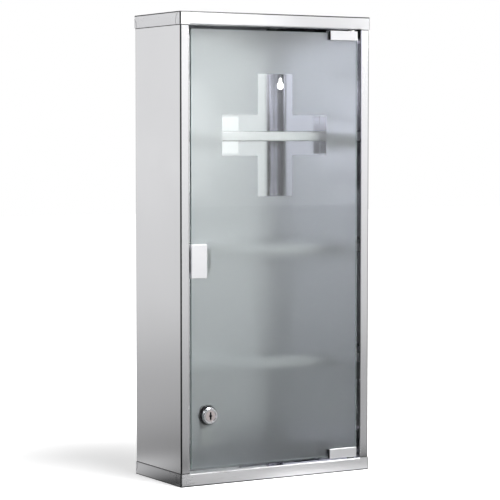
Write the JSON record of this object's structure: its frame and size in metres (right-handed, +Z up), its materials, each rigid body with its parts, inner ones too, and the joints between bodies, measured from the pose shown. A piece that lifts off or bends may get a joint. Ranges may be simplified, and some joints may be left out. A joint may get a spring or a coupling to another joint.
{
  "type": "lockable medicine cabinet",
  "caption": "Tall narrow wall cabinet of folded stainless steel with fixed shelves and a lockable inset door of frosted glass with a clear cross.",
  "frame": {"origin": "centre of the bottom face", "axes": "+Z up, the door faces -Y, +X to the right as seen from the front, where the door is hinged"},
  "size_m": [0.285, 0.1265, 0.6],
  "materials": {
    "stainless_panel": "satin stainless steel with a fine upright grain",
    "stainless_cap": "satin stainless steel with a fine grain along the flanges",
    "stainless_shelf": "bright stainless steel",
    "chrome": "bright chrome plate, slightly satin on the flat faces",
    "zinc_plated": "bright zinc plate",
    "clear_glass": "clear float glass with a green edge",
    "frosted_glass": "fine acid frosting",
    "black_rubber": "matt",
    "black_plastic": "moulded nylon",
    "white_plastic": "moulded nylon",
    "magnet": "sintered ferrite"
  },
  "bodies": {
    "cabinet": {"left_side_panel": "stainless_panel", "right_side_panel": "stainless_panel", "back_panel": "stainless_panel", "top_cap": "stainless_cap", "bottom_cap": "stainless_cap", "upper_shelf": "stainless_shelf", "middle_shelf": "stainless_shelf", "lower_shelf": "stainless_shelf", "upper_pivot_bush": "black_plastic", "lower_pivot_bush": "black_plastic", "catch_bracket": "stainless_shelf", "catch_case": "white_plastic", "catch_magnet": "magnet", "catch_pole_plates": "zinc_plated", "catch_screws": "zinc_plated"},
    "door": {"door_glass": "clear_glass", "frosted_layer": "frosted_glass", "upper_hinge_clip": "chrome", "lower_hinge_clip": "chrome", "upper_clip_liner": "black_rubber", "lower_clip_liner": "black_rubber", "upper_pivot_pin": "zinc_plated", "lower_pivot_pin": "zinc_plated", "hinge_clamp_screws": "zinc_plated", "strike_plate": "chrome", "strike_liner": "black_rubber", "strike_clamp_screws": "zinc_plated", "lock_barrel": "chrome", "lock_gasket": "black_rubber", "lock_washer": "white_plastic", "lock_nut": "zinc_plated"},
    "lock": {"lock_plug": "chrome", "lock_cam": "zinc_plated", "cam_screw": "zinc_plated"}
  },
  "joints": [
    {"name": "door_hinge", "type": "hinge", "parent": "cabinet", "child": "door", "pos_m": [0.117, -0.0565, 0.3], "axis": [0, 0, 1], "range_deg": [0, 130]},
    {"name": "lock_turn", "type": "hinge", "parent": "door", "child": "lock", "pos_m": [-0.1, -0.0565, 0.0885], "axis": [0, 1, 0], "range_deg": [0, 90]}
  ]
}
